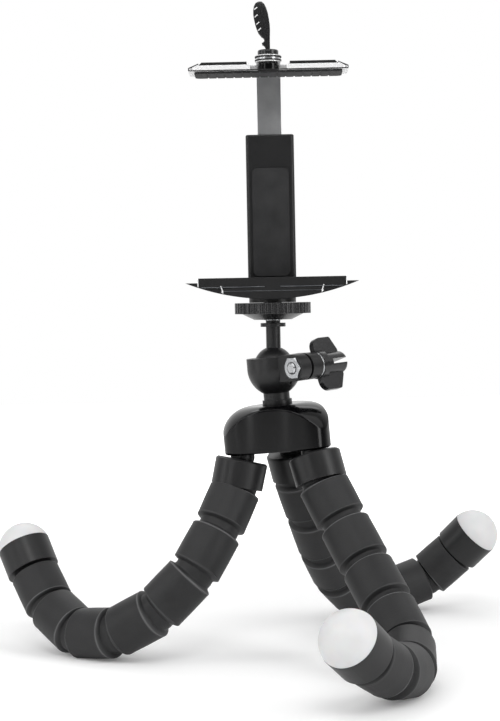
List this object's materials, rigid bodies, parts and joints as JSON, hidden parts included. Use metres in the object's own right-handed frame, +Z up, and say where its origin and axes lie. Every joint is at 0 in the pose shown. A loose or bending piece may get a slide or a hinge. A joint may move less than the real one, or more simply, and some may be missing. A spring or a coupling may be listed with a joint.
{
  "type": "flexible leg tripod",
  "caption": "Table tripod with bendable foam-covered legs on a three-lobed hub, a ball head with a wing screw, and a sliding phone clamp with a thumb screw",
  "frame": {"origin": "middle of the whole tripod's plan, on the table", "axes": "+Z up, -Y towards the front of the phone, +X to the right seen from the front"},
  "size_m": [0.188, 0.1978, 0.2267],
  "materials": {
    "glossy_black_plastic": "polished injection moulding",
    "black_plastic": "fine grained moulding",
    "grey_plastic": "fine grained moulding",
    "white_plastic": "smooth moulding",
    "grey_foam": "matt closed-cell foam",
    "black_rubber": "matt",
    "soft_aluminium": "drawn wire",
    "plated_steel": "bright nickel plating",
    "spring_steel": "brushed strip",
    "chromed_steel": "polished chromium plating"
  },
  "bodies": {
    "hub": {"hub_housing": "glossy_black_plastic", "hub_base_plate": "black_plastic", "head_screw": "plated_steel"},
    "head": {"ball_socket": "glossy_black_plastic", "clamp_nut": "plated_steel"},
    "wing_screw": {"wing_handle": "grey_plastic", "clamp_bolt": "plated_steel", "wing_washer": "plated_steel"},
    "ball": {"ball_stem": "black_plastic", "mount_stud": "plated_steel"},
    "disc": {"lock_disc": "black_plastic"},
    "holder": {"lower_jaw": "black_plastic", "lower_pad": "black_rubber", "back_pad": "black_rubber", "spine_cover": "black_plastic", "cover_screws": "plated_steel", "stud_insert": "plated_steel", "brake_spring": "spring_steel"},
    "sliding_jaw": {"upper_jaw": "chromed_steel", "jaw_trim": "black_plastic", "upper_pad": "black_rubber", "jaw_boss": "black_plastic", "jaw_washers": "plated_steel", "slide_bar": "spring_steel"},
    "thumb": {"thumb_screw": "plated_steel", "paddle_handle": "grey_plastic"},
    "left_leg_1": {"left_collar": "glossy_black_plastic", "left_foam_1": "grey_foam", "left_core_wire": "soft_aluminium"},
    "left_leg_2": {"left_foam_2": "grey_foam"},
    "left_leg_3": {"left_foam_3": "grey_foam"},
    "left_leg_4": {"left_foam_4": "grey_foam"},
    "left_leg_5": {"left_foam_5": "grey_foam"},
    "left_leg_6": {"left_foam_6": "grey_foam"},
    "left_leg_7": {"left_foam_7": "grey_foam", "left_ferrule": "glossy_black_plastic", "left_foot_cap": "white_plastic"},
    "front_leg_1": {"front_collar": "glossy_black_plastic", "front_foam_1": "grey_foam", "front_core_wire": "soft_aluminium"},
    "front_leg_2": {"front_foam_2": "grey_foam"},
    "front_leg_3": {"front_foam_3": "grey_foam"},
    "front_leg_4": {"front_foam_4": "grey_foam"},
    "front_leg_5": {"front_foam_5": "grey_foam"},
    "front_leg_6": {"front_foam_6": "grey_foam"},
    "front_leg_7": {"front_foam_7": "grey_foam", "front_ferrule": "glossy_black_plastic", "front_foot_cap": "white_plastic"},
    "back_leg_1": {"back_collar": "glossy_black_plastic", "back_foam_1": "grey_foam", "back_core_wire": "soft_aluminium"},
    "back_leg_2": {"back_foam_2": "grey_foam"},
    "back_leg_3": {"back_foam_3": "grey_foam"},
    "back_leg_4": {"back_foam_4": "grey_foam"},
    "back_leg_5": {"back_foam_5": "grey_foam"},
    "back_leg_6": {"back_foam_6": "grey_foam"},
    "back_leg_7": {"back_foam_7": "grey_foam", "back_ferrule": "glossy_black_plastic", "back_foot_cap": "white_plastic"}
  },
  "joints": [
    {"name": "left_root", "type": "hinge", "parent": "hub", "child": "left_leg_1", "pos_m": [-0.00376, 0.01032, 0.06924], "axis": [-0.2864, 0.9579, -0.0215], "range_deg": [-22, 0], "deforming": ["left_core_wire"]},
    {"name": "left_neck_1", "type": "hinge", "parent": "left_leg_1", "child": "left_leg_2", "pos_m": [-0.01233, 0.00283, 0.04535], "axis": [0.3989, 0.7376, -0.5448], "range_deg": [-22, 29], "deforming": ["left_foam_1", "left_foam_2", "left_core_wire"]},
    {"name": "left_neck_2", "type": "hinge", "parent": "left_leg_2", "child": "left_leg_3", "pos_m": [-0.02095, -0.0032, 0.03087], "axis": [-0.547, -0.6057, 0.5779], "range_deg": [-14, 37], "deforming": ["left_foam_2", "left_foam_3", "left_core_wire"]},
    {"name": "left_neck_3", "type": "hinge", "parent": "left_leg_3", "child": "left_leg_4", "pos_m": [-0.03359, -0.00386, 0.01822], "axis": [0.5474, 0.6049, -0.5783], "range_deg": [-40, 11], "deforming": ["left_foam_3", "left_foam_4", "left_core_wire"]},
    {"name": "left_neck_4", "type": "hinge", "parent": "left_leg_4", "child": "left_leg_5", "pos_m": [-0.04844, 0.00154, 0.00981], "axis": [-0.54, -0.6471, 0.5382], "range_deg": [-9, 42], "deforming": ["left_foam_4", "left_foam_5", "left_core_wire"]},
    {"name": "left_neck_5", "type": "hinge", "parent": "left_leg_5", "child": "left_leg_6", "pos_m": [-0.06284, 0.012, 0.00794], "axis": [0.5793, 0.734, -0.3545], "range_deg": [-47, 4], "deforming": ["left_foam_5", "left_foam_6", "left_core_wire"]},
    {"name": "left_neck_6", "type": "hinge", "parent": "left_leg_6", "child": "left_leg_7", "pos_m": [-0.07378, 0.02416, 0.01522], "axis": [-0.7134, -0.6952, 0.0882], "range_deg": [-14, 37], "deforming": ["left_foam_6", "left_foam_7", "left_core_wire"]},
    {"name": "front_root", "type": "hinge", "parent": "hub", "child": "front_leg_1", "pos_m": [0.02074, 0.0051, 0.07108], "axis": [-0.7911, -0.6087, -0.0595], "range_deg": [-22, 0], "deforming": ["front_core_wire"]},
    {"name": "front_neck_1", "type": "hinge", "parent": "front_leg_1", "child": "front_leg_2", "pos_m": [0.03027, -0.00335, 0.04753], "axis": [-0.9048, -0.0983, -0.4142], "range_deg": [-25, 26], "deforming": ["front_foam_1", "front_foam_2", "front_core_wire"]},
    {"name": "front_neck_2", "type": "hinge", "parent": "front_leg_2", "child": "front_leg_3", "pos_m": [0.03748, -0.01257, 0.03399], "axis": [0.8983, 0.063, 0.4348], "range_deg": [-26, 25], "deforming": ["front_foam_2", "front_foam_3", "front_core_wire"]},
    {"name": "front_neck_3", "type": "hinge", "parent": "front_leg_3", "child": "front_leg_4", "pos_m": [0.04401, -0.02436, 0.0222], "axis": [-0.8086, 0.1267, -0.5746], "range_deg": [-22, 29], "deforming": ["front_foam_3", "front_foam_4", "front_core_wire"]},
    {"name": "front_neck_4", "type": "hinge", "parent": "front_leg_4", "child": "front_leg_5", "pos_m": [0.04942, -0.03775, 0.01163], "axis": [0.7443, -0.2016, 0.6367], "range_deg": [-3, 48], "deforming": ["front_foam_4", "front_foam_5", "front_core_wire"]},
    {"name": "front_neck_5", "type": "hinge", "parent": "front_leg_5", "child": "front_leg_6", "pos_m": [0.0482, -0.05514, 0.00755], "axis": [-0.7649, 0.1975, -0.6131], "range_deg": [-46, 5], "deforming": ["front_foam_5", "front_foam_6", "front_core_wire"]},
    {"name": "front_neck_6", "type": "hinge", "parent": "front_leg_6", "child": "front_leg_7", "pos_m": [0.04133, -0.07132, 0.01091], "axis": [0.8237, -0.2434, 0.5121], "range_deg": [-17, 34], "deforming": ["front_foam_6", "front_foam_7", "front_core_wire"]},
    {"name": "back_root", "type": "hinge", "parent": "hub", "child": "back_leg_1", "pos_m": [0.013, 0.02898, 0.0705], "axis": [0.8012, -0.5953, 0.0602], "range_deg": [-22, 0], "deforming": ["back_core_wire"]},
    {"name": "back_neck_1", "type": "hinge", "parent": "back_leg_1", "child": "back_leg_2", "pos_m": [0.01986, 0.03757, 0.04606], "axis": [0.9528, 0.0007, 0.3035], "range_deg": [-26, 25], "deforming": ["back_foam_1", "back_foam_2", "back_core_wire"]},
    {"name": "back_neck_2", "type": "hinge", "parent": "back_leg_2", "child": "back_leg_3", "pos_m": [0.02434, 0.04764, 0.03196], "axis": [-0.9366, 0.3468, -0.0501], "range_deg": [-27, 24], "deforming": ["back_foam_2", "back_foam_3", "back_core_wire"]},
    {"name": "back_neck_3", "type": "hinge", "parent": "back_leg_3", "child": "back_leg_4", "pos_m": [0.02946, 0.05969, 0.01975], "axis": [0.7598, -0.5928, -0.267], "range_deg": [-27, 24], "deforming": ["back_foam_3", "back_foam_4", "back_core_wire"]},
    {"name": "back_neck_4", "type": "hinge", "parent": "back_leg_4", "child": "back_leg_5", "pos_m": [0.03659, 0.0731, 0.01027], "axis": [-0.4671, 0.6625, 0.5856], "range_deg": [-5, 46], "deforming": ["back_foam_4", "back_foam_5", "back_core_wire"]},
    {"name": "back_neck_5", "type": "hinge", "parent": "back_leg_5", "child": "back_leg_6", "pos_m": [0.04997, 0.08473, 0.00779], "axis": [0.4269, -0.6298, -0.6489], "range_deg": [-48, 3], "deforming": ["back_foam_5", "back_foam_6", "back_core_wire"]},
    {"name": "back_neck_6", "type": "hinge", "parent": "back_leg_6", "child": "back_leg_7", "pos_m": [0.06615, 0.0903, 0.01303], "axis": [-0.4264, 0.7009, 0.5718], "range_deg": [-4, 47], "deforming": ["back_foam_6", "back_foam_7", "back_core_wire"]},
    {"name": "head_pan", "type": "hinge", "parent": "hub", "child": "head", "pos_m": [0.00872, 0.0148, 0.08729], "axis": [-0.075, 0, 0.9972], "range_deg": [-180, 180]},
    {"name": "wing_turn", "type": "hinge", "parent": "head", "child": "wing_screw", "pos_m": [0.01798, 0.00383, 0.10052], "axis": [0.7293, 0.682, 0.0548], "range_deg": [-180, 180]},
    {"name": "ball_tilt", "type": "hinge", "parent": "head", "child": "ball", "pos_m": [0.00772, 0.0148, 0.10055], "axis": [1, 0, 0], "range_deg": [-35, 35]},
    {"name": "disc_spin", "type": "hinge", "parent": "ball", "child": "disc", "pos_m": [0.00772, 0.0148, 0.11685], "axis": [0, 0, 1], "continuous": true},
    {"name": "holder_pan", "type": "hinge", "parent": "ball", "child": "holder", "pos_m": [0.00772, 0.0148, 0.12485], "axis": [0, 0, 1], "range_deg": [-180, 180]},
    {"name": "jaw_slide", "type": "slide", "parent": "holder", "child": "sliding_jaw", "axis": [0, 0, 1], "range_m": [-0.016, 0.014]},
    {"name": "thumb_spin", "type": "hinge", "parent": "sliding_jaw", "child": "thumb", "pos_m": [0.00772, 0.0093, 0.20615], "axis": [0, 0, 1], "continuous": true}
  ]
}
